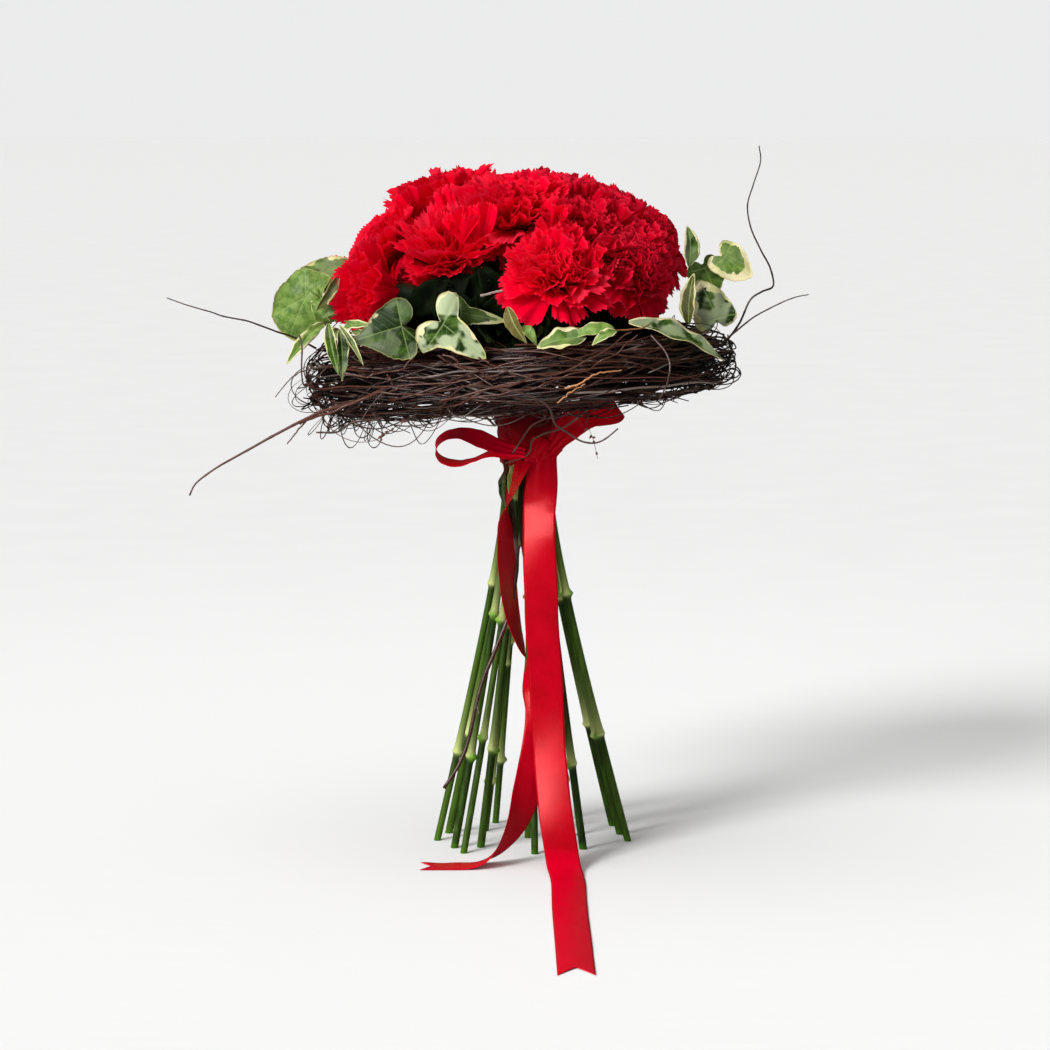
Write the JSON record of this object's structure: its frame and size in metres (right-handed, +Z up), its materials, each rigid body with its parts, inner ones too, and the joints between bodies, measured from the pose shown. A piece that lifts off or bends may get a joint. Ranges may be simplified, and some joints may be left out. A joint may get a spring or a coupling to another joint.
{
  "type": "heart-shaped carnation bouquet",
  "caption": "Heart-shaped dome of red carnations in a wreath of brown twigs with variegated ivy, stems tied with a red satin bow and standing on their cut ends",
  "frame": {"origin": "the cut foot of the middle stem, on the surface that the bouquet stands on", "axes": "+Z up; -Y the front, where the heart's cleft, the bow and the ribbon tails are; +X to the right seen from the front"},
  "size_m": [0.4534, 0.5974, 0.5041],
  "materials": {
    "petals": "soft matte carnation petals, deep red with paler serrated edges; paper stands in for plant tissue",
    "stems": "smooth waxy green stems with pale swollen joints; wood stands in for green plant stem",
    "twigs": "thin dark reddish-brown twigs, bark on",
    "ivy": "variegated ivy leaf, green with a cream margin, slightly waxy; paper stands in for leaf",
    "satin": "red satin ribbon, shiny on its face and duller on its back"
  },
  "bodies": {
    "root": {"carnation_bloom_01": "petals", "carnation_stem_01": "stems", "carnation_bloom_02": "petals", "carnation_stem_02": "stems", "carnation_bloom_03": "petals", "carnation_stem_03": "stems", "carnation_bloom_04": "petals", "carnation_stem_04": "stems", "carnation_bloom_05": "petals", "carnation_stem_05": "stems", "carnation_bloom_06": "petals", "carnation_stem_06": "stems", "carnation_bloom_07": "petals", "carnation_stem_07": "stems", "carnation_bloom_08": "petals", "carnation_stem_08": "stems", "carnation_bloom_09": "petals", "carnation_stem_09": "stems", "carnation_bloom_10": "petals", "carnation_stem_10": "stems", "carnation_bloom_11": "petals", "carnation_stem_11": "stems", "carnation_bloom_12": "petals", "carnation_stem_12": "stems", "carnation_bloom_13": "petals", "carnation_stem_13": "stems", "carnation_bloom_14": "petals", "carnation_stem_14": "stems", "carnation_bloom_15": "petals", "carnation_stem_15": "stems", "carnation_bloom_16": "petals", "carnation_stem_16": "stems", "nest_arc_1": "twigs", "nest_arc_2": "twigs", "nest_arc_3": "twigs", "nest_arc_4": "twigs", "nest_arc_5": "twigs", "nest_arc_6": "twigs", "tie_twig_1": "twigs", "tie_twig_2": "twigs", "tie_twig_3": "twigs", "loose_twig_left": "twigs", "loose_twig_low_left": "twigs", "loose_twig_tall": "twigs", "loose_twig_right": "twigs", "ivy_leaf_left_large": "ivy", "ivy_leaf_left_upper": "ivy", "ivy_leaf_front_left": "ivy", "ivy_leaf_front_middle": "ivy", "ivy_leaf_front_low": "ivy", "ivy_leaf_front_long": "ivy", "ivy_leaf_right_grey": "ivy", "ivy_leaf_right_round": "ivy", "ivy_leaf_right_dark": "ivy", "ribbon_wrap": "satin", "ribbon_knot": "satin", "ribbon_loop_left": "satin", "ribbon_loop_right": "satin", "ribbon_tail_long": "satin", "ribbon_tail_short": "satin"}
  },
  "joints": []
}
